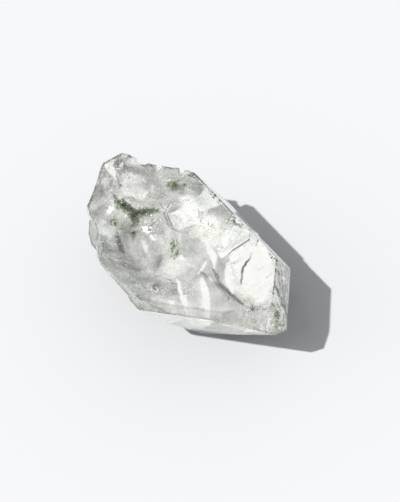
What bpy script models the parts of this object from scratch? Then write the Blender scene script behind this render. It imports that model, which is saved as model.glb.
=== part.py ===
"""A single quartz point with green chlorite in it, lying on one of its sides.

The crystal is one solid. Its long axis (the c-axis of the quartz) runs along X, with the point at
the +X end. The other end is broken off, and shell-like hollows are broken out of the top beside it.
It rests on its lowest side face, and the origin is under the middle of its box, on the table.
"""

import math

import bmesh
import bpy
from mathutils import Matrix, Vector, noise

MM = 0.001

# Quartz: the faces of the point lean this far from the long axis, and the side faces stand every 60 degrees
POINT_LEAN = math.radians(51.8)

# While it is modelled, the long axis lies here, in mm.
# The table is at 0, and X is 0 where the top meets the point
AXIS_PLACE = Vector((0.0, 2.0, 13.0))

# Side faces: the angle from straight up, turning towards +Y, and the distance from the long axis in mm
SIDE_FACES = {0: 11.7, 60: 18.3, 120: 15.1, 180: 13.0, 240: 11.4, 300: 21.2}

# Faces of the point: the same angle, and where each one would meet the long axis in mm
POINT_FACES = {0: 15.3, 60: 15.2, 120: 11.2, 180: 1.0, 240: -2.5, 300: 9.3}

TOP = AXIS_PLACE.z + SIDE_FACES[0]

# Broken end and small flat chips: the outward direction of each, and a point on it in mm
BREAKS = {
    "end": ((-0.95, 0.06, 0.26), (-54.4, 3.0, 24.7)),
    "end_under": ((-0.80, -0.10, -0.60), (-56.5, 4.0, 12.0)),
    "far_end": ((-0.59, 0.80, 0.04), (-49.2, 10.0, 22.0)),
    "far_side": ((-0.42, 0.88, 0.16), (-42.2, 15.2, 22.0)),
    "far_under": ((-0.60, 0.62, -0.50), (-46.4, 12.2, 10.0)),
    "near_side": ((-0.83, -0.55, -0.06), (-52.0, -2.9, 24.0)),
    "near_flank": ((-0.42, -0.88, 0.06), (-41.3, -11.9, 22.8)),
    "near_under": ((-0.62, -0.52, -0.58), (-48.0, -4.5, 10.0)),
    "heel": ((0.24, -0.73, -0.64), (-17.1, -10.0, 11.0)),
    "tip": ((0.86, -0.38, 0.34), (4.5, 7.9, 16.4)),
}

# Shell-like hollows: the middle of the rim in mm, the way it faces, the rim's radius and the depth in mm, and
# the angle round the rim (from +X towards +Y, in degrees) of the blow that the ripples run round
HOLLOWS = {
    "bowl": ((-30.3, -8.0, TOP), (0.00, 0.00, 1.0), 10.2, 4.0, 115),
    "bowl_side": ((-38.4, -8.6, 24.0), (-0.22, -0.16, 1.0), 5.6, 1.7, 70),
    "far_hollow": ((-43.4, 6.3, TOP), (-0.10, 0.12, 1.0), 8.0, 2.9, 300),
    "near_hollow": ((-48.6, -6.3, TOP), (-0.30, -0.22, 1.0), 7.0, 2.0, 30),
    "flank_hollow": ((-41.6, -11.8, 16.8), (-0.46, -0.84, 0.1), 6.0, 1.4, 75),
    "end_hollow": ((-57.0, 3.5, 13.0), (-1.0, 0.0, 0.1), 8.5, 2.2, 100),
    "far_side_hollow": ((-45.0, 14.6, 12.5), (-0.50, 0.83, -0.1), 6.8, 1.7, 20),
    "under_hollow": ((-47.5, 3.0, 0.0), (-0.25, 0.0, -1.0), 6.0, 1.3, 0),
}
RIPPLE_LENGTH = 2.1
RIPPLE_HEIGHT = 0.10
RIPPLE_WANDER = 2.4
WARP_HEIGHT = 0.5
WARP_LENGTH = 6.0

# Small chips off the edges: the middle of each bite and its radius in mm
CHIPS = {
    "far_rim_a": ((-50.5, 10.3, 23.4), 2.0),
    "far_rim_b": ((-41.6, 16.8, 23.0), 2.6),
    "near_rim": ((-37.9, -14.9, 23.8), 1.8),
    "near_edge_a": ((-26.0, -18.2, 22.6), 1.9),
    "near_edge_b": ((-20.6, -17.4, 22.2), 1.1),
    "shoulder": ((-9.8, -14.6, 20.2), 1.5),
    "right_edge_a": ((-29.0, 22.2, 16.6), 1.3),
    "right_edge_b": ((-18.5, 21.5, 15.8), 1.2),
    "point_edge": ((2.4, 13.0, 16.6), 1.2),
    "foot": ((-30.0, -3.5, -0.3), 1.3),
}

# Growth steps: the side face's angle, the depth of the step in mm, and where along X it starts and ends in mm
GROWTH_STEPS = {
    "step_far_under": (120, 0.7, -27.0, 30.0),
    "step_near_under": (240, 0.5, -36.0, -22.0),
    "step_far_upper": (60, 0.3, -19.0, 30.0),
}

# Low part of the top face, in mm: its upper end, how deep it lies there, and how it rises towards the point
PLATEAU_START = -16.5
PLATEAU_DEPTH = 1.5
PLATEAU_RISE = 0.062
RIDGE_START = Vector((-20.8, -0.4, TOP))
RIDGE_END = Vector((4.6, 2.2, TOP))
RIDGE_SLOPE = 0.62
CORNER_START = Vector((-16.5, 6.1, TOP))
CORNER_END = Vector((-12.6, 1.6, TOP))
CORNER_SLOPE = 1.7

# Flat chip beside the bowl, in mm: a point on its floor, the way it faces, and its corners on the top face
PANE_POINT = Vector((-30.4, 6.2, 24.0))
PANE_FACING = Vector((0.05, -0.06, 1.0))
PANE_CORNERS = [
    (-33.9, 3.7),
    (-29.9, 2.2),
    (-27.4, 3.2),
    (-25.5, 7.1),
    (-28.0, 9.6),
    (-30.0, 10.8),
    (-32.9, 9.7),
    (-35.0, 6.6),
]

QUARTZ_COLOUR = (0.80, 0.83, 0.78, 1.0)
QUARTZ_ROUGHNESS = 0.06
QUARTZ_REFRACTION = 1.54

# The block that flat-faced shapes are sliced from, in mm, and how finely the hollows are ringed
ROUGH_BLOCK = 150.0
RING_COUNT = 90
SPOKE_COUNT = 56

# Points closer than these, in metres, count as one
SLICE_TOLERANCE = 1e-7
SAME_POINT = 0.1 * MM


def direction_across(angle_deg):
    """The direction square to the long axis at this angle from straight up."""
    angle = math.radians(angle_deg)
    return Vector((0.0, math.sin(angle), math.cos(angle)))


def flat_faced_solid(planes):
    """A block, in metres, with all that lies beyond each plane (point in mm, direction) sliced off."""
    bm = bmesh.new()
    bmesh.ops.create_cube(bm, size=ROUGH_BLOCK * MM)
    for point, outward in planes:
        everything = bm.verts[:] + bm.edges[:] + bm.faces[:]
        cut = bmesh.ops.bisect_plane(
            bm,
            geom=everything,
            dist=SLICE_TOLERANCE,
            plane_co=point * MM,
            plane_no=outward.normalized(),
            clear_outer=True,
        )
        rim = [item for item in cut["geom_cut"] if isinstance(item, bmesh.types.BMEdge)]
        if rim:
            bmesh.ops.contextual_create(bm, geom=rim)
    return bm


def mesh_object(name, bm, collection, smooth=False):
    """Turns the bmesh into an object, shaded smooth where the real surface is round."""
    for face in bm.faces:
        face.smooth = smooth
    mesh = bpy.data.meshes.new(name)
    bm.to_mesh(mesh)
    bm.free()
    obj = bpy.data.objects.new(name, mesh)
    collection.objects.link(obj)
    return obj


def crystal_planes():
    """Every flat face: six sides, six faces of the point, the broken end and the flat chips."""
    along = Vector((1.0, 0.0, 0.0))
    planes = []
    for angle, distance in SIDE_FACES.items():
        out = direction_across(angle)
        planes.append((AXIS_PLACE + out * distance, out))
    for angle, reach in POINT_FACES.items():
        out = along * math.cos(POINT_LEAN) + direction_across(angle) * math.sin(POINT_LEAN)
        planes.append((AXIS_PLACE + along * reach, out))
    for outward, point in BREAKS.values():
        planes.append((Vector(point), Vector(outward)))
    return planes


def plateau_planes():
    """The space over the low part of the top face, between the ridge and the white riser."""
    ridge = (RIDGE_END - RIDGE_START).normalized()
    beside_ridge = Vector((-ridge.y, ridge.x, 0.0))
    corner = (CORNER_END - CORNER_START).normalized()
    beside_corner = Vector((-corner.y, corner.x, 0.0))
    floor = Vector((PLATEAU_START, 0.0, TOP - PLATEAU_DEPTH))
    return [
        (floor, Vector((PLATEAU_RISE, 0.0, -1.0))),
        (RIDGE_START, Vector((0.0, 0.0, -1.0)) - beside_ridge * RIDGE_SLOPE),
        (Vector((PLATEAU_START, 0.0, TOP)), Vector((-1.0, 0.0, 0.12))),
        (CORNER_START, Vector((0.0, 0.0, -CORNER_SLOPE)) - beside_corner),
    ]


def pane_planes():
    """The space over the flat chip beside the bowl."""
    planes = [(PANE_POINT, -PANE_FACING)]
    for start, end in zip(PANE_CORNERS, PANE_CORNERS[1:] + PANE_CORNERS[:1]):
        out_x = end[1] - start[1]
        out_y = start[0] - end[0]
        side = Vector((out_x, out_y, 0.0)).normalized()
        planes.append((Vector((*start, TOP)), side + Vector((0.0, 0.0, -0.4))))
    return planes


def growth_step_planes(angle, depth, start, end):
    """The space over a side face that stopped growing a little lower between start and end."""
    along = Vector((1.0, 0.0, 0.0))
    out = direction_across(angle)
    across = along.cross(out)
    floor = AXIS_PLACE + out * (SIDE_FACES[angle] - depth)
    return [
        (floor, -out),
        (floor + along * start, across * 0.10 - along - out * 0.3),
        (floor + along * end, across * 0.06 + along - out * 0.3),
    ]


def hollow_ball(rim_middle, facing, rim_radius, depth, blow_angle):
    """A rippled ball that bites a shell-like hollow, with rings round the blow as broken quartz has."""
    out = Vector(facing).normalized()
    radius = (rim_radius**2 + depth**2) / (2 * depth)
    centre = Vector(rim_middle) + out * (radius - depth)
    side = Vector((math.cos(math.radians(blow_angle)), math.sin(math.radians(blow_angle)), 0.0))
    side = (side - out * side.dot(out)).normalized()
    blow = (Vector(rim_middle) + side * rim_radius - centre).normalized()
    bm = bmesh.new()
    bmesh.ops.create_uvsphere(bm, u_segments=SPOKE_COUNT, v_segments=RING_COUNT, radius=radius)
    for vert in bm.verts:
        from_blow = radius * vert.co.normalized().angle(Vector((0.0, 0.0, 1.0)))
        spot = vert.co / WARP_LENGTH + Vector(rim_middle)
        wander = noise.noise(spot)
        strength = math.exp(-from_blow / (1.5 * rim_radius)) * (0.5 + noise.noise(spot * 1.7))
        ripple = strength * math.sin(2 * math.pi * from_blow / RIPPLE_LENGTH + RIPPLE_WANDER * wander)
        vert.co += vert.co.normalized() * (RIPPLE_HEIGHT * ripple + WARP_HEIGHT * wander)
    turn = Vector((0.0, 0.0, 1.0)).rotation_difference(blow).to_matrix().to_4x4()
    to_place = Matrix.Scale(MM, 4) @ Matrix.Translation(centre) @ turn
    bmesh.ops.transform(bm, matrix=to_place, verts=bm.verts)
    return bm


def chip_ball(middle, radius):
    """A rough little ball that bites a chip off an edge."""
    bm = bmesh.new()
    bmesh.ops.create_icosphere(bm, subdivisions=2, radius=radius)
    for vert in bm.verts:
        vert.co *= 1.0 + 0.25 * noise.noise(vert.co / radius + Vector(middle))
    to_place = Matrix.Scale(MM, 4) @ Matrix.Translation(Vector(middle))
    bmesh.ops.transform(bm, matrix=to_place, verts=bm.verts)
    return bm


def cut_away(crystal, cutter):
    """Takes the cutter's shape out of the crystal."""
    cutter.hide_render = True
    cutter.display_type = "WIRE"
    cut = crystal.modifiers.new(cutter.name, "BOOLEAN")
    cut.operation = "DIFFERENCE"
    cut.object = cutter


def quartz_material():
    """Clear quartz with a slight grey-green cast from the chlorite in it."""
    material = bpy.data.materials.new("chlorite_quartz")
    material.use_nodes = True
    shader = material.node_tree.nodes["Principled BSDF"]
    shader.inputs["Base Color"].default_value = QUARTZ_COLOUR
    shader.inputs["Roughness"].default_value = QUARTZ_ROUGHNESS
    shader.inputs["Metallic"].default_value = 0.0
    shader.inputs["IOR"].default_value = QUARTZ_REFRACTION
    shader.inputs["Transmission Weight"].default_value = 0.85
    return material


def middle_of_underside(obj):
    """The point under the middle of the object's box, at its lowest level, with all its cuts made."""
    graph = bpy.context.evaluated_depsgraph_get()
    evaluated = obj.evaluated_get(graph)
    corners = [evaluated.matrix_world @ vert.co for vert in evaluated.data.vertices]
    low = Vector([min(corner[i] for corner in corners) for i in range(3)])
    high = Vector([max(corner[i] for corner in corners) for i in range(3)])
    return Vector(((low.x + high.x) / 2, (low.y + high.y) / 2, low.z))


def main():
    for obj in list(bpy.data.objects):
        bpy.data.objects.remove(obj)
    model = bpy.data.collections.new("chlorite_quartz_crystal")
    cutters = bpy.data.collections.new("broken_away")
    bpy.context.scene.collection.children.link(model)
    bpy.context.scene.collection.children.link(cutters)

    crystal = mesh_object("crystal", flat_faced_solid(crystal_planes()), model)
    crystal.data.materials.append(quartz_material())

    cut_away(crystal, mesh_object("plateau", flat_faced_solid(plateau_planes()), cutters))
    cut_away(crystal, mesh_object("pane", flat_faced_solid(pane_planes()), cutters))
    for name, step in GROWTH_STEPS.items():
        cut_away(crystal, mesh_object(name, flat_faced_solid(growth_step_planes(*step)), cutters))
    for name, hollow in HOLLOWS.items():
        cut_away(crystal, mesh_object(name, hollow_ball(*hollow), cutters, smooth=True))
    for name, chip in CHIPS.items():
        cut_away(crystal, mesh_object(name, chip_ball(*chip), cutters))

    # Slivers that the cuts leave along their rims are closed up
    weld = crystal.modifiers.new("weld", "WELD")
    weld.merge_threshold = SAME_POINT

    # Everything hangs from one empty, which brings the middle of the underside to the origin
    place = bpy.data.objects.new("resting_place", None)
    model.objects.link(place)
    for obj in [*model.objects, *cutters.objects]:
        if obj != place:
            obj.parent = place
    bpy.context.view_layer.update()
    place.location = -middle_of_underside(crystal)


main()
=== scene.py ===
import math
import random

import bmesh
import bpy
from mathutils import Euler, Matrix, Vector, noise
from mathutils.bvhtree import BVHTree


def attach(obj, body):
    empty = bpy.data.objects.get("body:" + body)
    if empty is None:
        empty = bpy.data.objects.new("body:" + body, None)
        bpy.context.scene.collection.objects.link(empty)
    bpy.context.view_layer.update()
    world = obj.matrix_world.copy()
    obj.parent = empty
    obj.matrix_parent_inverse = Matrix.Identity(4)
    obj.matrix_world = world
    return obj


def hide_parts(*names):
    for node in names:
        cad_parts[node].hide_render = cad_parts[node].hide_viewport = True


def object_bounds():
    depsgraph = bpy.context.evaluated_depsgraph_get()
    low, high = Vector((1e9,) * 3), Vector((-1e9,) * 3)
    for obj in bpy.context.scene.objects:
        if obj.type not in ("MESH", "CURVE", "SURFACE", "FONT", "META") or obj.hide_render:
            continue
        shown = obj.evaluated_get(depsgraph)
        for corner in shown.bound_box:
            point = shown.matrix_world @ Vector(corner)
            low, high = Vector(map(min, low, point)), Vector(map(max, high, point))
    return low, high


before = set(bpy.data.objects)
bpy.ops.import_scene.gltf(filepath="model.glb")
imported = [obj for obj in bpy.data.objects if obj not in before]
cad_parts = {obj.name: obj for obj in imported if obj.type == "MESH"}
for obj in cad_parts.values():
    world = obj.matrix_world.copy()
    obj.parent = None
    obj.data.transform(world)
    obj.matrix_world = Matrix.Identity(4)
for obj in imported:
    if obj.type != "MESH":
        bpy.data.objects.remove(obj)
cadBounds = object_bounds()
mm = 0.001
lowCorner, highCorner = cadBounds
topLevel = highCorner.z
scene = bpy.context.scene
print("frame loaded")


class Wire:
    # a socket in a node tree: sums on it add Math nodes, and node() adds any other node
    def __init__(self, tree, socket=None):
        self.tree = tree
        self.socket = socket

    def node(self, kind, settings=None, inputs=None, output=0):
        made = self.tree.nodes.new(kind)
        for name, value in (settings or {}).items():
            setattr(made, name, value)
        for name, value in (inputs or {}).items():
            if isinstance(value, Wire):
                self.tree.links.new(value.socket, made.inputs[name])
            else:
                made.inputs[name].default_value = value
        return Wire(self.tree, made.outputs[output])

    def maths(self, operation, *values):
        return self.node("ShaderNodeMath", {"operation": operation}, dict(enumerate(values)))

    def __add__(self, other):
        return self.maths("ADD", self, other)

    def __radd__(self, other):
        return self.maths("ADD", other, self)

    def __sub__(self, other):
        return self.maths("SUBTRACT", self, other)

    def __rsub__(self, other):
        return self.maths("SUBTRACT", other, self)

    def __mul__(self, other):
        return self.maths("MULTIPLY", self, other)

    def __rmul__(self, other):
        return self.maths("MULTIPLY", other, self)

    def rising(self, least, adds):
        # least where this value is 0, and adds more where it is 1
        return least + adds * self

    def between(self, low, high):
        # 0 at low and 1 at high, smooth and held at the ends
        settings = {"interpolation_type": "SMOOTHSTEP", "clamp": True}
        return self.node("ShaderNodeMapRange", settings, {0: self, 1: low, 2: high})

    def mixColour(self, first, second):
        # the second colour where this value is 1
        inputs = {0: self, 6: (*first, 1.0) if isinstance(first, tuple) else first, 7: (*second, 1.0)}
        return self.node("ShaderNodeMix", {"data_type": "RGBA"}, inputs, output=2)


def newMaterial(name):
    material = bpy.data.materials.new(name)
    material.use_nodes = True
    tree = material.node_tree
    shader = tree.nodes["Principled BSDF"]
    return material, Wire(tree), shader


def feed(wire, shader, name):
    shader.id_data.links.new(wire.socket, shader.inputs[name])


def objectPlace(wires, stretch=(1.0, 1.0, 1.0)):
    # the point on the piece, in metres, stretched for a pattern
    place = wires.node("ShaderNodeTexCoord", output=3)
    return wires.node("ShaderNodeMapping", inputs={0: place, 3: stretch})


def stored(wires, name):
    # a value that the mesh holds at its points or faces
    return wires.node("ShaderNodeAttribute", {"attribute_name": name}, output="Fac")


def noiseAt(place, scale, detail=3.0, roughness=0.55, distortion=0.0):
    # each setup below gives these numbers in this order
    inputs = {
        "Vector": place,
        "Scale": scale,
        "Detail": detail,
        "Roughness": roughness,
        "Distortion": distortion,
    }
    return place.node("ShaderNodeTexNoise", inputs=inputs)


def addPiece(name, bm, material):
    mesh = bpy.data.meshes.new(name)
    bm.to_mesh(mesh)
    bm.free()
    mesh.materials.append(material)
    piece = bpy.data.objects.new(name, mesh)
    scene.collection.objects.link(piece)
    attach(piece, "root")
    return piece


def thicken(piece, thickness):
    # a sheet becomes a closed wafer with its middle where the sheet was
    wall = piece.modifiers.new("thickness", "SOLIDIFY")
    wall.thickness = thickness
    wall.offset = 0.0


# The camera stands where the photograph's did. Its place and aim are in mm, and the long side of the
# picture shows that many mm at that distance
cameraSetup = {
    "place": (215.6, -161.8, 410.9),
    "aim": (-1.22, 6.22, 13.0),
    "sensor": 36.0,
    "distance": 480.0,
    "longSide": 119.24,
}


def makeCamera():
    setup = cameraSetup
    data = bpy.data.cameras.new("viewCamera")
    data.sensor_width = setup["sensor"]
    data.lens = setup["sensor"] * setup["distance"] / setup["longSide"]
    camera = bpy.data.objects.new("viewCamera", data)
    scene.collection.objects.link(camera)
    camera.location = Vector(setup["place"]) * mm
    looking = Vector(setup["aim"]) * mm - camera.location
    camera.rotation_euler = looking.to_track_quat("-Z", "Y").to_euler()
    scene.camera = camera
    print("camera made")


# Light: a hard key from the near side and a pale sky, brighter round the horizon and most at the near
# left. A shadow falls this far in mm for each mm of height
lightSetup = {
    "shadowFall": (0.113, 0.663),
    "keyStrength": 4.10,
    "keyAngle": math.radians(1.2),
    "keyColour": (1.0, 0.985, 0.96),
    "skyColour": (0.97, 0.99, 1.0),
    "overhead": 0.36,
    "horizon": 0.66,
    "horizonPower": 3.0,
    "glow": 1.8,
    "glowFrom": (-0.60, -0.78, 0.17),
    "glowPower": 12.0,
}


def makeLight():
    setup = lightSetup
    data = bpy.data.lights.new("keyLight", "SUN")
    data.energy = setup["keyStrength"]
    data.angle = setup["keyAngle"]
    data.color = setup["keyColour"]
    lamp = bpy.data.objects.new("keyLight", data)
    scene.collection.objects.link(lamp)
    lamp.rotation_euler = Vector((*setup["shadowFall"], -1.0)).to_track_quat("-Z", "Y").to_euler()

    world = bpy.data.worlds.new("paleSky")
    world.use_nodes = True
    scene.world = world
    wires = Wire(world.node_tree)
    direction = wires.node("ShaderNodeTexCoord", output="Generated")
    height = direction.node("ShaderNodeSeparateXYZ", inputs={0: direction}, output="Z").between(0.0, 1.0)
    low = (1.0 - height).maths("POWER", 1.0 - height, setup["horizonPower"])
    inputs = {0: direction, 1: Vector(setup["glowFrom"]).normalized()}
    facing = direction.node("ShaderNodeVectorMath", {"operation": "DOT_PRODUCT"}, inputs, output="Value")
    glow = facing.maths("POWER", facing.maths("MAXIMUM", facing, 0.0), setup["glowPower"])
    strength = setup["overhead"] + setup["horizon"] * low + setup["glow"] * glow
    background = world.node_tree.nodes["Background"]
    background.inputs["Color"].default_value = (*setup["skyColour"], 1.0)
    world.node_tree.links.new(strength.socket, background.inputs["Strength"])
    print("light made")


# Light passes the glass and the cloudy sheets in it many times before it comes out
tracingSetup = {
    "max_bounces": 24,
    "transmission_bounces": 20,
    "transparent_max_bounces": 32,
    "caustics_refractive": False,
    "caustics_reflective": False,
    "sample_clamp_indirect": 4.0,
}


def setTracing():
    scene.view_settings.view_transform = "Standard"
    for name, value in tracingSetup.items():
        setattr(scene.cycles, name, value)


floorSetup = {
    "side": 6.0,
    "gap": 0.03 * mm,
    "colour": (0.599, 0.607, 0.627),
    "roughness": 0.6,
    "specular": 0.2,
}


def makeFloor():
    setup = floorSetup
    material, wires, shader = newMaterial("paleFloor")
    shader.inputs["Base Color"].default_value = (*setup["colour"], 1.0)
    shader.inputs["Roughness"].default_value = setup["roughness"]
    shader.inputs["Specular IOR Level"].default_value = setup["specular"]
    bm = bmesh.new()
    bmesh.ops.create_grid(bm, x_segments=1, y_segments=1, size=setup["side"] / 2)
    bmesh.ops.translate(bm, vec=(0.0, 0.0, lowCorner.z - setup["gap"]), verts=bm.verts)
    mesh = bpy.data.meshes.new("paleFloor")
    bm.to_mesh(mesh)
    bm.free()
    mesh.materials.append(material)
    ground = bpy.data.objects.new("paleFloor", mesh)
    scene.collection.objects.link(ground)
    print("floor made")


# The clear quartz. Sunlight on its way to what lies inside or under the crystal is dimmed at each face
# that it crosses, little where it enters and much where it leaves. The big faces grew flat, and the
# small ones are where it broke
quartzSetup = {
    "refraction": 1.544,
    "tint": (0.99, 0.995, 0.985),
    "absorbColour": (0.80, 0.86, 0.78),
    "absorbDensity": 9.0,
    "litLet": 0.95,
    "farLet": 0.06,
    "mergeDistance": 0.002 * mm,
    "flatWithin": math.radians(0.6),
    "grownArea": 12.0 * mm * mm,
    "restsBelow": -0.98,
    "sharpAbove": math.radians(22.0),
    "wornAbove": math.radians(24.0),
    "wornLength": 2.5 * mm,
    "wornWidth": 0.10 * mm,
    "wornSegments": 2,
    "polish": 0.02,
    "frost": 0.38,
    "frostNoise": (420.0, 4.0, 0.6),
    "frostRange": (0.50, 0.72),
    "hackleNoise": (1500.0, 4.0, 0.6),
    "hackleHeight": 0.9,
    "grooveNoise": (1.0, 3.0, 0.6),
    "grooveStretch": (1700.0, 45.0, 45.0),
    "grooveHeight": 0.35,
    "bumpDepth": 0.05 * mm,
}


def quartzMaterial():
    setup = quartzSetup
    material, wires, shader = newMaterial("clearQuartz")
    shader.inputs["Base Color"].default_value = (*setup["tint"], 1.0)
    shader.inputs["Transmission Weight"].default_value = 1.0
    shader.inputs["IOR"].default_value = setup["refraction"]
    place = objectPlace(wires)
    broken = stored(wires, "broken")
    frost = noiseAt(place, *setup["frostNoise"]).between(*setup["frostRange"]) * broken
    feed(setup["polish"] + setup["frost"] * frost, shader, "Roughness")
    grooves = noiseAt(objectPlace(wires, setup["grooveStretch"]), *setup["grooveNoise"])
    grooves = grooves * (setup["grooveHeight"] * (1.0 - broken))
    hackles = noiseAt(place, *setup["hackleNoise"]) * (setup["hackleHeight"] * broken)
    height = grooves + hackles
    inputs = {"Height": height, "Strength": 1.0, "Distance": setup["bumpDepth"]}
    feed(wires.node("ShaderNodeBump", inputs=inputs), shader, "Normal")

    lit = wires.node("ShaderNodeBsdfTransparent", inputs={"Color": (*[setup["litLet"]] * 3, 1.0)})
    far = wires.node("ShaderNodeBsdfTransparent", inputs={"Color": (*[setup["farLet"]] * 3, 1.0)})
    clear = wires.node("ShaderNodeMixShader", inputs={0: stored(wires, "lightLeaves"), 1: lit, 2: far})
    shadowRay = wires.node("ShaderNodeLightPath", output="Is Shadow Ray")
    glass = Wire(wires.tree, shader.outputs[0])
    mixed = wires.node("ShaderNodeMixShader", inputs={0: shadowRay, 1: glass, 2: clear})
    inputs = {"Color": (*setup["absorbColour"], 1.0), "Density": setup["absorbDensity"]}
    absorbing = wires.node("ShaderNodeVolumeAbsorption", inputs=inputs)
    output = wires.tree.nodes["Material Output"]
    wires.tree.links.new(mixed.socket, output.inputs["Surface"])
    wires.tree.links.new(absorbing.socket, output.inputs["Volume"])
    return material


def isGrown(face):
    return face.calc_area() > quartzSetup["grownArea"]


def makeQuartz():
    setup = quartzSetup
    keyTravel = Vector((*lightSetup["shadowFall"], -1.0))
    bm = bmesh.new()
    bm.from_mesh(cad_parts["crystal"].data)
    bmesh.ops.remove_doubles(bm, verts=bm.verts, dist=setup["mergeDistance"])
    bmesh.ops.dissolve_limit(bm, angle_limit=setup["flatWithin"], verts=bm.verts, edges=bm.edges)
    worn = [
        edge
        for edge in bm.edges
        if len(edge.link_faces) == 2
        and edge.calc_face_angle() > setup["wornAbove"]
        and edge.calc_length() > setup["wornLength"]
    ]
    bmesh.ops.bevel(
        bm,
        geom=worn,
        offset=setup["wornWidth"],
        segments=setup["wornSegments"],
        profile=0.5,
        affect="EDGES",
        clamp_overlap=True,
        material=-1,
    )
    broken = bm.verts.layers.float.new("broken")
    leaves = bm.faces.layers.float.new("lightLeaves")
    for face in bm.faces:
        face.smooth = not isGrown(face)
        face[leaves] = float(face.normal.dot(keyTravel) > 0.0 and face.normal.z > setup["restsBelow"])
    for vert in bm.verts:
        vert[broken] = float(not any(isGrown(face) for face in vert.link_faces))
    piece = addPiece("clearQuartz", bm, quartzMaterial())
    piece.data.set_sharp_from_angle(angle=setup["sharpAbove"])
    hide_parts("crystal")
    print("quartz made:", len(piece.data.polygons), "faces")
    return piece


# Veils and flecks keep this far under the skin
insideSetup = {"margin": 0.45 * mm}


def skinOf(piece):
    bm = bmesh.new()
    bm.from_mesh(piece.data)
    skin = BVHTree.FromBMesh(bm)
    bm.free()
    return skin


def depthUnder(skin, point):
    # how deep a point lies under the skin, or a negative number outside it
    distance = skin.find_nearest(point)[3]
    above = skin.ray_cast(point, Vector((0.0, 0.0, 1.0)))[1]
    return distance if above is not None and above.z > 0.0 else -distance


def softBall(point, ball):
    # the full weight at the middle of an ellipsoid and 0 at its edge
    away = point - Vector(ball["at"]) * mm
    reach = math.sqrt(sum((away[i] / (ball["radii"][i] * mm)) ** 2 for i in range(3)))
    return max(0.0, 1.0 - reach) * ball["weight"]


def scatter(setup, skin):
    # places drawn at random in the ellipsoids, thicker at their middles
    drawn = random.Random(setup["seed"])
    balls = setup["balls"]
    weights = [math.prod(ball["radii"]) * ball["weight"] for ball in balls]
    places = []
    for attempt in range(setup["count"] * setup["tries"]):
        if len(places) == setup["count"]:
            break
        ball = drawn.choices(balls, weights)[0]
        offset = Vector([drawn.uniform(-1.0, 1.0) for axis in range(3)])
        if drawn.random() > 1.0 - offset.length:
            continue
        offset = Vector([offset[i] * ball["radii"][i] * mm for i in range(3)])
        point = Vector(ball["at"]) * mm + offset
        if noise.noise(point / (setup["clump"] * mm)) < setup["clumpAbove"]:
            continue
        if depthUnder(skin, point) > insideSetup["margin"]:
            places.append(point)
    return places, drawn


def spread(name, template, matrices, material, batchSize=60):
    # one closed little shape set at every place, in batches because adding to a big mesh is slow
    grain = bpy.data.meshes.new(name + "Grain")
    template.to_mesh(grain)
    template.free()
    whole = bmesh.new()
    for first in range(0, len(matrices), batchSize):
        batch = bmesh.new()
        for matrix in matrices[first : first + batchSize]:
            before = len(batch.verts)
            batch.from_mesh(grain)
            batch.verts.ensure_lookup_table()
            bmesh.ops.transform(batch, matrix=matrix, verts=batch.verts[before:])
        batchMesh = bpy.data.meshes.new(name + "Batch")
        batch.to_mesh(batchMesh)
        batch.free()
        whole.from_mesh(batchMesh)
        bpy.data.meshes.remove(batchMesh)
    bpy.data.meshes.remove(grain)
    for face in whole.faces:
        face.smooth = True
    piece = addPiece(name, whole, material)
    print(name, "made:", len(matrices), "grains")
    return piece


# Healed cracks: wavy sheets of tiny bubbles right through the crystal, cloudy white where they are thick
veilSetup = {
    "cell": 0.5 * mm,
    "thickness": 0.05 * mm,
    "fade": 1.6 * mm,
    "colour": (0.97, 0.97, 0.955),
    "shade": (0.86, 0.88, 0.84),
    "opacity": 0.62,
    "roughness": 0.5,
    "specular": 0.1,
    "cloudNoise": (150.0, 6.0, 0.62, 0.6),
    "cloudRange": (0.34, 0.66),
    "cloudAlpha": (0.25, 0.95),
    "fineNoise": (620.0, 3.0, 0.6),
    "fineRange": (0.30, 0.70),
    "fineAlpha": (0.55, 0.6),
    "waveLength": 9.0 * mm,
    "rippleLength": 2.6 * mm,
    "rippleShare": 0.22,
    "sheets": {
        "upperVeil": {
            "middle": (-13.0, -1.0, 17.5),
            "size": (38.0, 36.0),
            "lean": (0.07, -0.05),
            "wave": 1.5,
            "base": 0.27,
        },
        "middleVeil": {
            "middle": (4.0, 0.5, 11.0),
            "size": (56.0, 38.0),
            "lean": (-0.10, 0.06),
            "wave": 2.0,
            "base": 0.38,
        },
        "pointVeil": {
            "middle": (13.0, 0.0, 18.8),
            "size": (32.0, 34.0),
            "lean": (0.03, 0.08),
            "wave": 1.0,
            "base": 0.24,
        },
        "pointVeilUnder": {
            "middle": (21.0, 2.0, 13.5),
            "size": (24.0, 34.0),
            "lean": (0.05, 0.04),
            "wave": 0.8,
            "base": 0.55,
        },
        "pointVeilLow": {
            "middle": (21.0, 2.0, 8.0),
            "size": (24.0, 36.0),
            "lean": (-0.04, 0.05),
            "wave": 0.8,
            "base": 0.60,
        },
        "lowVeil": {
            "middle": (-4.0, 2.0, 5.5),
            "size": (52.0, 34.0),
            "lean": (0.06, 0.02),
            "wave": 1.6,
            "base": 0.27,
        },
    },
    "strokes": [
        {"at": (-19.0, 1.0, 18.0), "radii": (5.0, 4.0, 9.0), "weight": 1.6},
        {"at": (-9.0, 9.0, 18.0), "radii": (6.0, 4.0, 9.0), "weight": 1.0},
        {"at": (1.0, 8.0, 18.0), "radii": (8.0, 5.0, 9.0), "weight": 1.4},
        {"at": (-26.5, 4.0, 18.0), "radii": (4.0, 5.0, 9.0), "weight": 1.2},
        {"at": (5.0, -3.5, 17.0), "radii": (4.0, 4.0, 9.0), "weight": 1.2},
        {"at": (15.0, 8.0, 17.0), "radii": (10.0, 8.0, 9.0), "weight": 0.9},
        {"at": (-14.0, -4.0, 17.0), "radii": (8.0, 4.0, 9.0), "weight": -0.7},
        {"at": (-8.0, -11.0, 17.0), "radii": (6.0, 4.0, 9.0), "weight": -0.3},
    ],
}


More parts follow.
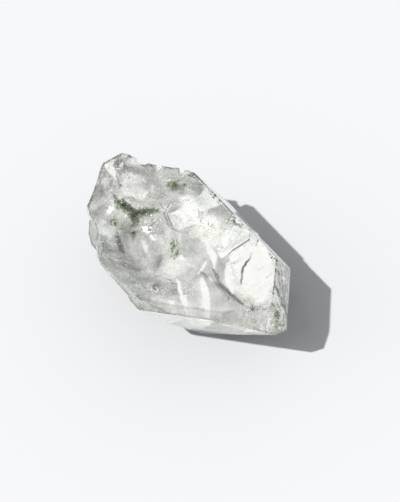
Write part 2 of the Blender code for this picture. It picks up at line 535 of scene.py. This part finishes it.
def veilMaterial():
    setup = veilSetup
    material, wires, shader = newMaterial("healedCracks")
    place = objectPlace(wires)
    cloud = noiseAt(place, *setup["cloudNoise"]).between(*setup["cloudRange"])
    fine = noiseAt(place, *setup["fineNoise"]).between(*setup["fineRange"])
    feed(cloud.mixColour(setup["shade"], setup["colour"]), shader, "Base Color")
    shader.inputs["Roughness"].default_value = setup["roughness"]
    shader.inputs["Specular IOR Level"].default_value = setup["specular"]
    patchy = cloud.rising(*setup["cloudAlpha"]) * fine.rising(*setup["fineAlpha"])
    alpha = (setup["opacity"] * stored(wires, "thick")) * patchy
    feed(alpha.between(0.0, 1.0), shader, "Alpha")
    return material


def makeVeil(name, skin, material):
    setup = veilSetup
    sheet = setup["sheets"][name]
    length, width = sheet["size"]
    bm = bmesh.new()
    across = [round(side * mm / setup["cell"]) for side in (length, width)]
    bmesh.ops.create_grid(bm, x_segments=across[0], y_segments=across[1], size=0.5)
    thick = bm.verts.layers.float.new("thick")
    bmesh.ops.scale(bm, vec=(length * mm, width * mm, 1.0), verts=bm.verts)
    tilt = Euler((sheet["lean"][0], sheet["lean"][1], 0.0)).to_matrix()
    middle = Vector(sheet["middle"]) * mm
    outside = []
    for vert in bm.verts:
        point = tilt @ vert.co + middle
        point.z += noise.noise(point / setup["waveLength"]) * sheet["wave"] * mm
        ripple = noise.noise(point / setup["rippleLength"]) * sheet["wave"]
        point.z += ripple * setup["rippleShare"] * mm
        vert.co = point
        depth = depthUnder(skin, point) - insideSetup["margin"]
        if depth < 0.0:
            outside.append(vert)
        strength = sheet["base"] + sum(softBall(point, stroke) for stroke in setup["strokes"])
        vert[thick] = max(0.0, strength) * min(1.0, max(0.0, depth) / setup["fade"])
    bmesh.ops.delete(bm, geom=outside, context="VERTS")
    for face in bm.faces:
        face.smooth = True
    piece = addPiece(name, bm, material)
    thicken(piece, setup["thickness"])
    print(name, "made:", len(piece.data.polygons), "faces")


def makeVeils(skin):
    material = veilMaterial()
    for name in veilSetup["sheets"]:
        makeVeil(name, skin, material)


# The cloudy layer close under the skin follows every step and hollow of it; some marks paint light and
# shade.
# Its marks are places in mm from above: a line has a width and tapers unless it is clean, a patch lies
# round one point, and a pane fills its corners. Each adds white, dark or green, and they lie on the top
# only
skinVeilAndPaintedLightSetup = {
    "cell": 0.30 * mm,
    "under": 0.55 * mm,
    "margin": 0.12 * mm,
    "base": 0.20,
    "sideBase": 0.32,
    "topFrom": 0.12,
    "topOver": 0.20,
    "undersideBelow": -0.9,
    "leastLit": 0.15,
    "litGain": 2.5,
    "ragged": 0.24,
    "raggedScale": 1.1,
    "cleanEdge": 1.6,
    "taperLeast": 0.45,
    "taperAdds": 0.75,
    "taperPower": 0.7,
    "roughness": 0.5,
    "specular": 0.1,
    "cloudNoise": (330.0, 6.0, 0.66, 0.8),
    "cloudRange": (0.32, 0.68),
    "grainNoise": (1400.0, 4.0, 0.6),
    "grooveNoise": (1.0, 2.0, 0.5),
    "grooveStretch": (2100.0, 100.0, 100.0),
    "groovedFrom": (3.0 * mm, 9.0 * mm),
    "fineRange": (0.30, 0.70),
    "speckNoise": (1300.0, 2.0, 0.5),
    "speckRange": (0.50, 0.60),
    "cloudPale": 0.65,
    "finePale": 0.35,
    "speckStain": (0.35, 0.65),
    "mostStain": 0.75,
    "whiteHides": 0.3,
    "fineDark": (0.85, 0.3),
    "cloudAlpha": (0.50, 0.70),
    "fineAlpha": (0.80, 0.30),
    "darkAlpha": 0.55,
    "speckAlpha": (0.25, 0.6),
    "shade": (0.88, 0.89, 0.865),
    "white": (0.98, 0.98, 0.975),
    "dark": (0.15, 0.155, 0.14),
    "green": (0.20, 0.27, 0.13),
    "marks": [
        # Painted light: the plateau whitened where the sunlit floor shows through it
        {"pane": [(8.6, 6.0), (8.6, 12.8), (12.9, 14.6), (17.8, 14.2), (23.4, 9.3), (25.6, 5.2),
                  (24.6, 3.0), (14.6, 3.6)],
         "feather": 1.6, "white": 1.3},
        {"pane": [(11.0, 4.6), (16.2, 5.4), (23.8, 6.0), (25.2, 3.6), (25.0, 2.0), (18.0, 1.3),
                  (12.8, 1.4)],
         "feather": 1.2, "white": 0.20, "dark": 0.2},
        {"pane": [(3.9, -4.8), (2.9, -2.5), (5.3, -2.6)], "feather": 0.4, "white": 1.2},
        {"pane": [(-29.4, -1.6), (-28.9, 0.3), (-23.0, 0.2), (-22.4, -2.4)],
         "feather": 0.4, "white": 0.9},
        {"pane": [(-8.5, 2.3), (-7.9, 6.6), (-3.7, 8.1), (-1.7, 6.0), (-3.0, 1.7)],
         "feather": 0.5, "white": 1.0},
        {"pane": [(-7.9, -3.6), (-4.6, -3.2), (-6.0, -4.8)], "feather": 0.4, "white": 0.9},
        # Painted shade: the face left of the ridge greyed where the shadowed floor shows through it
        {"pane": [(5.1, -3.3), (10.4, -1.0), (18.5, 0.3), (25.3, 1.0), (22.1, -4.6), (16.5, -10.4),
                  (13.4, -9.7)],
         "feather": 0.8, "white": -0.05, "dark": 0.52},
        {"line": [(9.0, -15.2), (14.0, -10.6), (19.0, -6.0), (25.0, -1.4)],
         "width": 2.2, "white": 0.55},
        # Painted shade: the hollow broken out of the top darkened
        {"patch": (-5.4, -8.6), "radii": (9.0, 6.6), "feather": 0.35, "white": -0.14, "dark": 0.66},
        {"patch": (-21.5, 5.5),
         "radii": (7.5, 4.6), "feather": 0.5, "white": -0.10, "dark": 0.42, "green": 0.2},
        {"patch": (-19.6, 0.9), "radii": (2.6, 1.9), "feather": 0.7, "white": 1.7},
        {"patch": (-24.5, -4.0),
         "radii": (4.5, 4.5), "feather": 0.6, "white": -0.15, "dark": 0.65, "green": 0.2},
        {"patch": (-12.4, 8.2),
         "radii": (4.4, 2.8), "feather": 0.6, "white": -0.15, "dark": 0.75, "green": 0.35},
        {"patch": (-7.4, 8.0), "radii": (3.4, 2.2), "feather": 0.8, "white": 1.2},
        {"patch": (0.2, 7.9), "radii": (3.4, 2.4), "feather": 0.9, "white": 1.3},
        {"patch": (7.2, -12.6), "radii": (3.6, 2.6), "feather": 0.7, "white": -0.1, "dark": 0.55},
        {"patch": (12.6, -12.4), "radii": (1.1, 0.8), "feather": 0.9, "white": 1.4},
        {"patch": (14.0, -12.9), "radii": (0.9, 0.7), "feather": 0.9, "white": 1.4},
        {"patch": (3.6, 12.9), "radii": (4.2, 2.4), "feather": 0.8, "green": 0.45},
        {"patch": (11.2, -2.3), "radii": (1.9, 1.3), "feather": 0.8, "green": 0.45},
        {"patch": (-14.6, 8.9), "radii": (2.8, 1.6), "feather": 0.8, "green": 1.5, "dark": 0.45},
        {"patch": (-14.4, -4.4), "radii": (4.4, 1.5), "feather": 0.8, "green": 2.8, "dark": 0.9},
        {"line": [(-13.8, -4.4), (-12.0, -2.0), (-10.3, 0.3)],
         "width": 1.9, "green": 1.3, "dark": 0.7},
        {"patch": (-17.6, -5.2), "radii": (2.2, 1.4), "feather": 0.8, "green": 1.6, "dark": 0.2},
        {"patch": (-15.0, -8.8), "radii": (2.8, 1.8), "feather": 0.9, "green": 0.8},
        {"patch": (-11.7, -5.6), "radii": (1.2, 1.8), "feather": 0.8, "green": 1.1, "dark": 0.3},
        # Painted highlight: a thin white line along the ridge's edge
        {"line": [(12.0, -1.6), (19.0, -0.9), (27.0, -0.2)],
         "width": 0.34, "white": 1.5, "clean": 1},
        {"line": [(4.4, -2.6), (8.4, -2.1), (12.6, -1.6)], "width": 0.40, "dark": 0.5},
        # Painted shade: a dark band beside the ridge, on its side away from the key light
        {"line": [(11.0, 0.7), (14.5, -0.3), (18.6, 0.1), (22.6, 0.3)], "width": 1.3, "dark": 1.05},
        {"line": [(9.6, 3.0), (10.6, 1.6), (12.6, 0.4)], "width": 1.4, "dark": 0.15, "white": -0.1},
        {"line": [(12.1, 11.2), (13.2, 9.4), (14.2, 6.9), (15.6, 5.5), (17.7, 3.5)],
         "width": 0.38, "dark": 1.9},
        {"line": [(12.6, 9.4), (13.6, 6.9), (15.0, 5.3)], "width": 1.0, "dark": 0.45},
        {"line": [(3.9, 4.3), (6.0, 3.3), (7.9, 3.0), (10.2, 2.0), (11.9, 0.5)],
         "width": 0.8, "white": 2.6},
        {"line": [(9.8, -2.7), (9.1, -0.9), (8.2, 0.7)], "width": 0.40, "white": 2.0},
        {"line": [(11.0, 4.9), (13.8, 2.8), (18.4, 0.3)], "width": 0.9, "white": 2.6},
        {"line": [(11.2, -2.9), (15.4, -4.9), (19.8, -7.8)], "width": 0.80, "white": 3.0},
        {"line": [(11.0, -3.6), (14.2, -5.2), (17.4, -7.4)], "width": 1.6, "white": 0.5},
        {"line": [(8.2, -7.5), (11.1, -9.1), (14.1, -10.2), (15.9, -10.8)],
         "width": 0.46, "white": 3.0},
        {"line": [(12.5, -8.7), (15.7, -10.7)], "width": 0.30, "white": 1.6},
        {"line": [(2.9, 8.6), (4.7, 9.0)], "width": 0.40, "white": 1.4},
        {"line": [(-12.4, -2.6), (-10.4, 0.4), (-7.9, 1.0), (-4.6, 0.4), (-1.2, -1.3), (0.9, -3.6)],
         "width": 1.7, "dark": 0.42, "green": 0.3},
        {"line": [(-10.9, 1.5), (-7.9, 2.1), (-4.4, 1.5), (-0.6, -0.1), (1.7, -2.2)],
         "width": 0.5, "white": 0.6},
        # Painted shade: a dark band inside the hollow's rim
        {"line": [(-1.2, -5.2), (1.0, -7.6), (2.6, -10.2)], "width": 1.3, "dark": 0.5},
        {"line": [(-7.6, -6.2), (-5.6, -6.5), (-4.4, -7.2)], "width": 0.8, "white": 0.8},
        {"patch": (-19.0, -9.0),
         "radii": (9.0, 7.0), "feather": 0.5, "white": -0.08, "dark": 0.38, "green": 0.1},
        {"line": [(-9.8, -4.4), (-8.6, -2.2), (-8.3, -0.6)], "width": 0.45, "dark": 0.8},
        {"line": [(-11.6, -10.5), (-9.6, -11.0), (-7.8, -11.6)], "width": 0.8, "dark": 1.1},
        {"line": [(-8.7, -1.7), (-7.8, -3.8)], "width": 0.35, "dark": 0.6},
        {"line": [(-12.4, 13.7), (-7.5, 14.1), (-2.6, 13.8), (3.8, 15.1)],
         "width": 0.30, "white": 1.1},
        {"line": [(-7.9, 15.0), (-4.5, 14.2), (-2.8, 14.0)], "width": 1.0, "green": 0.65},
        {"line": [(-2.4, -1.6), (0.4, -2.4), (3.2, -4.6)], "width": 1.5, "green": 1.0},
        {"line": [(-11.2, -7.5), (-8.2, -8.9), (-3.9, -10.6)], "width": 1.0, "white": 0.45},
        {"line": [(-8.3, -5.3), (-4.9, -6.7), (-0.8, -8.3)], "width": 1.1, "white": 0.5},
        {"line": [(6.0, -11.0), (6.6, -13.6), (6.6, -16.4)], "width": 1.6, "dark": 0.5},
        {"line": [(14.0, 15.0), (18.0, 14.6), (21.5, 12.6), (26.0, 9.3), (28.6, 5.7), (28.6, 2.5)],
         "width": 3.0, "white": 0.9, "green": 0.45},
        {"patch": (11.6, 6.4), "radii": (1.4, 2.6), "feather": 0.9, "green": 0.4},
        {"patch": (25.8, 1.6), "radii": (3.6, 2.6), "feather": 0.7, "white": 0.7, "green": 0.2},
    ],
}


def nearLine(point, corners):
    # the distance from a point to a line through corners, and how far along the line that is
    best = None
    place = 0.0
    for step, (first, second) in enumerate(zip(corners, corners[1:])):
        start = Vector(first)
        along = Vector(second) - start
        share = max(0.0, min(1.0, (point - start).dot(along) / along.length_squared))
        distance = (point - start - along * share).length
        if best is None or distance < best:
            best = distance
            place = (step + share) / (len(corners) - 1)
    return best, place


def insidePane(point, corners):
    # how far inside a pane's nearest side a point lies, with corners that go round either way
    turns = 0.0
    nearest = None
    for first, second in zip(corners, corners[1:] + corners[:1]):
        turns += first[0] * second[1] - second[0] * first[1]
    for first, second in zip(corners, corners[1:] + corners[:1]):
        start = Vector(first)
        along = Vector(second) - start
        side = along.normalized().cross(point - start) * (1.0 if turns > 0.0 else -1.0)
        nearest = side if nearest is None else min(nearest, side)
    return nearest


def markShare(mark, point):
    # 1 where a mark is full and 0 outside it
    setup = skinVeilAndPaintedLightSetup
    if "line" in mark:
        distance, place = nearLine(point, mark["line"])
        if "clean" in mark:
            return min(1.0, max(0.0, (1.0 - distance / mark["width"]) * setup["cleanEdge"]))
        taper = setup["taperAdds"] * math.sin(math.pi * place) ** setup["taperPower"]
        width = mark["width"] * (setup["taperLeast"] + taper)
        return max(0.0, 1.0 - distance / width)
    if "pane" in mark:
        return min(1.0, max(0.0, insidePane(point, mark["pane"]) / mark["feather"]))
    away = point - Vector(mark["patch"])
    reach = Vector((away.x / mark["radii"][0], away.y / mark["radii"][1])).length
    return min(1.0, max(0.0, (1.0 - reach) / mark["feather"]))


def skinVeilAndPaintedLightMaterial():
    setup = skinVeilAndPaintedLightSetup
    material, wires, shader = newMaterial("cloudAndPaintedLightLayer")
    place = objectPlace(wires)
    cloud = noiseAt(place, *setup["cloudNoise"]).between(*setup["cloudRange"])
    grainy = noiseAt(place, *setup["grainNoise"]).between(*setup["fineRange"])
    groovePlace = objectPlace(wires, setup["grooveStretch"])
    grooved = noiseAt(groovePlace, *setup["grooveNoise"]).between(*setup["fineRange"])
    along = place.node("ShaderNodeSeparateXYZ", inputs={0: place}, output="X")
    along = along.between(*setup["groovedFrom"])
    fine = grainy * (1.0 - along) + grooved * along
    specks = noiseAt(place, *setup["speckNoise"]).between(*setup["speckRange"])
    # white marks paint light and dark marks paint shade in places, besides the layer's own cloud, cracks
    # and chlorite
    white, dark, green = [stored(wires, name) for name in ("white", "dark", "green")]
    pale = setup["cloudPale"] * cloud + setup["finePale"] * fine
    pale = pale.mixColour(setup["shade"], setup["white"])
    stain = (green * specks.rising(*setup["speckStain"])).between(0.0, setup["mostStain"])
    stained = stain.mixColour(pale, setup["green"])
    darkness = (dark - setup["whiteHides"] * white) * fine.rising(*setup["fineDark"])
    feed(darkness.between(0.0, 1.0).mixColour(stained, setup["dark"]), shader, "Base Color")
    shader.inputs["Roughness"].default_value = setup["roughness"]
    shader.inputs["Specular IOR Level"].default_value = setup["specular"]
    patchy = cloud.rising(*setup["cloudAlpha"]) * fine.rising(*setup["fineAlpha"])
    alpha = white * patchy + setup["darkAlpha"] * dark + green * specks.rising(*setup["speckAlpha"])
    feed(alpha.maths("MINIMUM", alpha, 1.0), shader, "Alpha")
    return material


def evenCopy(piece, cell):
    # the piece's shape again in small even faces
    remesh = piece.modifiers.new("even", "REMESH")
    remesh.mode = "VOXEL"
    remesh.voxel_size = cell
    graph = bpy.context.evaluated_depsgraph_get()
    bm = bmesh.new()
    bm.from_object(piece, graph)
    piece.modifiers.remove(remesh)
    return bm


def makeSkinVeilAndPaintedLight(quartz, skin):
    setup = skinVeilAndPaintedLightSetup
    bm = evenCopy(quartz, setup["cell"])
    bm.normal_update()
    layers = {name: bm.verts.layers.float.new(name) for name in ("white", "dark", "green")}
    outward = [(vert, vert.normal.copy()) for vert in bm.verts]
    keyTravel = Vector((*lightSetup["shadowFall"], -1.0)).normalized()
    for vert, normal in outward:
        vert.co -= normal * setup["under"]
    axes = {"use_axis_x": True, "use_axis_y": True, "use_axis_z": True}
    bmesh.ops.smooth_vert(bm, verts=bm.verts, factor=0.5, **axes)
    for vert, normal in outward:
        top = min(1.0, max(0.0, (normal.z - setup["topFrom"]) / setup["topOver"]))
        lit = min(1.0, max(setup["leastLit"], -setup["litGain"] * normal.dot(keyTravel)))
        white = setup["base"] * top + setup["sideBase"] * (1.0 - top)
        amounts = {"white": white, "dark": 0.0, "green": 0.0}
        if normal.z < setup["undersideBelow"]:
            amounts["white"] = 0.0
        if top > 0.0:
            place = vert.co / (setup["raggedScale"] * mm)
            elsewhere = place + Vector((7.0, 3.0, 5.0))
            stray = Vector((noise.noise(place), noise.noise(elsewhere))) * setup["ragged"]
            point = Vector((vert.co.x, vert.co.y)) / mm
            for mark in setup["marks"]:
                share = markShare(mark, point if "clean" in mark else point + stray) * top
                for name in amounts:
                    amounts[name] += share * mark.get(name, 0.0)
        amounts["white"] *= lit
        inside = depthUnder(skin, vert.co) > setup["margin"]
        for name, layer in layers.items():
            vert[layer] = amounts[name] * inside
    for face in bm.faces:
        face.smooth = True
    piece = addPiece("cloudAndPaintedLightLayer", bm, skinVeilAndPaintedLightMaterial())
    piece.visible_shadow = False
    print("cloudAndPaintedLightLayer made:", len(piece.data.polygons), "faces")


# Milky flecks: thin flat bubbles and healed cracks, each a tiny lens
fleckSetup = {
    "seed": 11,
    "count": 2300,
    "tries": 40,
    "long": (0.22, 0.7),
    "narrow": (0.4, 0.9),
    "thin": 0.05,
    "lean": 0.45,
    "spin": (0.0, 6.28),
    "clump": 5.0,
    "clumpAbove": -0.25,
    "alpha": 0.42,
    "alphaLeast": 0.4,
    "alphaNoise": (900.0, 2.0),
    "alphaRange": (0.35, 0.70),
    "roughness": 0.35,
    "shade": (0.80, 0.83, 0.79),
    "shadeNoise": (260.0,),
    "shadeRange": (0.35, 0.65),
    "colour": (0.93, 0.94, 0.92),
    "balls": [
        {"at": (-10.0, -3.0, 14.0), "radii": (26.0, 20.0, 12.0), "weight": 1.0},
        {"at": (-16.0, 2.0, 15.0), "radii": (16.0, 14.0, 11.0), "weight": 1.0},
        {"at": (10.0, 2.0, 14.0), "radii": (22.0, 18.0, 10.0), "weight": 0.6},
        {"at": (26.0, 6.0, 14.0), "radii": (6.0, 11.0, 11.0), "weight": 6.0},
    ],
}


def fleckMaterial():
    setup = fleckSetup
    material, wires, shader = newMaterial("milkyFlecks")
    place = objectPlace(wires)
    shade = noiseAt(place, *setup["shadeNoise"]).between(*setup["shadeRange"])
    feed(shade.mixColour(setup["shade"], setup["colour"]), shader, "Base Color")
    shader.inputs["Roughness"].default_value = setup["roughness"]
    patchy = noiseAt(place, *setup["alphaNoise"]).between(*setup["alphaRange"])
    feed(setup["alpha"] * (setup["alphaLeast"] + patchy), shader, "Alpha")
    return material


def makeFlecks(skin):
    setup = fleckSetup
    places, drawn = scatter(setup, skin)
    template = bmesh.new()
    bmesh.ops.create_icosphere(template, subdivisions=1, radius=1.0)
    matrices = []
    for point in places:
        size = drawn.uniform(*setup["long"]) * mm * 0.5
        leans = [drawn.gauss(0.0, setup["lean"]) for axis in range(2)]
        turned = Euler((*leans, drawn.uniform(*setup["spin"])))
        scale = Vector((size, size * drawn.uniform(*setup["narrow"]), setup["thin"] * mm))
        matrices.append(Matrix.LocRotScale(point, turned, scale))
    spread("milkyFlecks", template, matrices, fleckMaterial())


# Grains lie close under the skin in drifts, which are places in mm from above
grainSetup = {
    "tries": 12,
    "reach": 0.5,
    "uneven": (0.5, 1.4),
    "clearance": 0.05 * mm,
}


# Chlorite: dark green grains, in a drift round the hollow and in thin trails near the point
chloriteSetup = {
    "seed": 23,
    "count": 8500,
    "size": (0.08, 0.26),
    "under": (0.15, 1.2),
    "clump": 1.3,
    "clumpAbove": -0.04,
    "flat": 1.0,
    "lean": math.pi,
    "dark": (0.020, 0.048, 0.022),
    "light": (0.11, 0.18, 0.07),
    "shadeNoise": (700.0, 3.0),
    "shadeRange": (0.38, 0.66),
    "rusty": (0.16, 0.10, 0.07),
    "rustyNoise": (1300.0,),
    "rustyRange": (0.60, 0.66),
    "roughness": 0.6,
    "drifts": [
        {"at": (-16.6, -4.7), "radii": (3.6, 1.3), "turn": 0.1, "share": 24},
        {"at": (-13.4, -4.5), "radii": (1.9, 1.5), "turn": 0.0, "share": 30},
        {"at": (-11.8, -2.0), "radii": (2.9, 1.0), "turn": 0.98, "share": 14},
        {"at": (-10.6, -6.6), "radii": (1.8, 0.9), "turn": -0.5, "share": 7},
        {"at": (-19.6, -5.6), "radii": (1.6, 1.2), "turn": 0.0, "share": 5},
        {"at": (-15.0, -8.9), "radii": (2.2, 1.4), "turn": 0.0, "share": 5},
        {"at": (-14.2, 9.4), "radii": (3.0, 1.5), "turn": 0.3, "share": 14},
        {"at": (-5.0, 14.2), "radii": (3.4, 1.0), "turn": -0.1, "share": 4},
        {"at": (3.6, 12.9), "radii": (4.0, 2.2), "turn": 0.0, "share": 6},
        {"at": (0.6, -2.8), "radii": (3.4, 1.3), "turn": -0.45, "share": 9},
        {"at": (11.6, 6.4), "radii": (0.9, 2.4), "turn": 0.0, "share": 0.4},
        {"at": (20.0, 13.2), "radii": (6.5, 1.2), "turn": -0.40, "share": 6, "grain": 1.7},
        {"at": (25.8, 9.4), "radii": (5.0, 2.2), "turn": -0.85, "share": 10, "grain": 1.6},
        {"at": (23.6, 9.8), "radii": (1.9, 1.2), "turn": -0.85, "share": 9},
        {"at": (28.2, 6.4), "radii": (1.8, 2.2), "turn": 0.0, "share": 5, "grain": 1.2},
        {"at": (24.8, 1.4), "radii": (4.0, 2.4), "turn": 0.3, "share": 5},
        {"at": (19.5, -1.5), "radii": (5.0, 1.2), "turn": 0.1, "share": 1},
    ],
}


def chloriteMaterial():
    setup = chloriteSetup
    material, wires, shader = newMaterial("chloriteGrains")
    place = objectPlace(wires)
    shade = noiseAt(place, *setup["shadeNoise"]).between(*setup["shadeRange"])
    green = shade.mixColour(setup["dark"], setup["light"])
    rusty = noiseAt(place, *setup["rustyNoise"]).between(*setup["rustyRange"])
    feed(rusty.mixColour(green, setup["rusty"]), shader, "Base Color")
    shader.inputs["Roughness"].default_value = setup["roughness"]
    return material


# Pale grains: bubbles and flakes of broken quartz that glitter under the skin
paleSetup = {
    "seed": 31,
    "count": 6800,
    "size": (0.10, 0.42),
    "under": (0.14, 0.8),
    "clump": 0.8,
    "clumpAbove": -0.08,
    "flat": 0.22,
    "lean": 0.35,
    "colour": (0.98, 0.98, 0.97),
    "shade": (0.80, 0.81, 0.79),
    "shadeNoise": (600.0,),
    "shadeRange": (0.35, 0.60),
    "roughness": 0.4,
    "drifts": [
        {"at": (26.5, 9.0), "radii": (6.0, 2.8), "turn": -0.85, "share": 44},
        {"at": (27.8, 3.4), "radii": (2.0, 4.0), "turn": 0.0, "share": 14},
        {"at": (20.5, 14.4), "radii": (6.0, 1.6), "turn": -0.5, "share": 12},
        {"at": (4.0, 18.0), "radii": (13.0, 1.6), "turn": -0.04, "share": 26},
        {"at": (24.5, 0.4), "radii": (4.0, 2.6), "turn": 0.2, "share": 5},
        {"at": (-18.2, 0.2), "radii": (3.2, 1.7), "turn": 0.2, "share": 8},
        {"at": (-7.6, 8.0), "radii": (3.2, 1.8), "turn": 0.2, "share": 6},
        {"at": (0.4, 7.4), "radii": (4.0, 1.8), "turn": 0.3, "share": 9},
        {"at": (7.0, -13.6), "radii": (5.0, 2.2), "turn": 0.7, "share": 3},
        {"at": (-10.0, -3.0), "radii": (18.0, 12.0), "turn": 0.0, "share": 8},
        {"at": (-24.0, 1.0), "radii": (5.0, 6.0), "turn": 0.0, "share": 6},
        {"at": (12.0, -5.6), "radii": (8.0, 4.0), "turn": 0.6, "share": 5},
    ],
}


def paleMaterial():
    setup = paleSetup
    material, wires, shader = newMaterial("paleGrains")
    shade = noiseAt(objectPlace(wires), *setup["shadeNoise"]).between(*setup["shadeRange"])
    feed(shade.mixColour(setup["shade"], setup["colour"]), shader, "Base Color")
    shader.inputs["Roughness"].default_value = setup["roughness"]
    return material


def makeGrains(skin, name, setup, material):
    drawn = random.Random(setup["seed"])
    template = bmesh.new()
    bmesh.ops.create_icosphere(template, subdivisions=1, radius=1.0)
    matrices = []
    shares = [drift["share"] for drift in setup["drifts"]]
    lean = setup["lean"]
    down = Vector((0.0, 0.0, -1.0))
    for attempt in range(setup["count"] * grainSetup["tries"]):
        drift = drawn.choices(setup["drifts"], shares)[0]
        angle = drawn.uniform(0.0, 2 * math.pi)
        reach = abs(drawn.gauss(0.0, grainSetup["reach"]))
        wide, narrow = drift["radii"]
        offset = Vector((math.cos(angle) * wide, math.sin(angle) * narrow)) * reach
        offset.rotate(Matrix.Rotation(drift["turn"], 2))
        point = Vector((drift["at"][0] + offset.x, drift["at"][1] + offset.y, 0.0)) * mm
        hit, normal = skin.ray_cast(Vector((*point.xy, topLevel + mm)), down)[:2]
        sink = drawn.uniform(*setup["under"]) * mm
        if hit is None or noise.noise(point / (setup["clump"] * mm)) < setup["clumpAbove"]:
            continue
        point = hit - normal * sink
        size = drawn.uniform(*setup["size"]) * mm * 0.5 * drift.get("grain", 1.0)
        if depthUnder(skin, point) < size + grainSetup["clearance"]:
            continue
        leans = [drawn.uniform(-lean, lean) for axis in range(2)]
        turned = Euler((*leans, drawn.uniform(0.0, 2 * math.pi)))
        scale = Vector([size * drawn.uniform(*grainSetup["uneven"]) for axis in range(3)])
        scale.z *= setup["flat"]
        matrices.append(Matrix.LocRotScale(point, turned, scale))
        if len(matrices) == setup["count"]:
            break
    piece = spread(name, template, matrices, material)
    piece.visible_shadow = False


# A thin opened crack behind the low step across the top shows as a white line. Its ends and its profile
# from the top down are in mm, and its long edges are toothed
stepSetup = {
    "ends": (4.2, 13.2),
    "profile": [(7.95, 24.35), (8.35, 23.25), (8.95, 22.72)],
    "teeth": 36,
    "toothDepth": 0.20,
    "toothLean": 1.9,
    "shade": (0.94, 0.94, 0.94),
    "colour": (1.0, 1.0, 1.0),
    "shadeNoise": (500.0,),
    "shadeRange": (0.3, 0.7),
    "roughness": 0.4,
    "thickness": 0.05 * mm,
}


def makeStepLine():
    setup = stepSetup
    near, far = setup["ends"]
    bm = bmesh.new()
    rows = 2 * setup["teeth"]
    columns = len(setup["profile"]) - 1
    bmesh.ops.create_grid(bm, x_segments=columns, y_segments=rows, size=0.5)
    for vert in bm.verts:
        x, z = setup["profile"][round((vert.co.x + 0.5) * columns)]
        row = round((vert.co.y + 0.5) * rows)
        tooth = setup["toothDepth"] * (row % 2)
        along = (row // 2 * 2 + setup["toothLean"] * (row % 2)) / rows
        vert.co = Vector((x - setup["toothDepth"] + tooth, near + (far - near) * along, z)) * mm
    material, wires, shader = newMaterial("stepLine")
    shade = noiseAt(objectPlace(wires), *setup["shadeNoise"]).between(*setup["shadeRange"])
    feed(shade.mixColour(setup["shade"], setup["colour"]), shader, "Base Color")
    shader.inputs["Roughness"].default_value = setup["roughness"]
    piece = addPiece("stepLine", bm, material)
    piece.visible_shadow = False
    thicken(piece, setup["thickness"])
    print("stepLine made")


makeCamera()
makeLight()
setTracing()
makeFloor()
quartz = makeQuartz()
skin = skinOf(quartz)
makeVeils(skin)
makeSkinVeilAndPaintedLight(quartz, skin)
makeFlecks(skin)
makeGrains(skin, "chloriteGrains", chloriteSetup, chloriteMaterial())
makeGrains(skin, "paleGrains", paleSetup, paleMaterial())
makeStepLine()
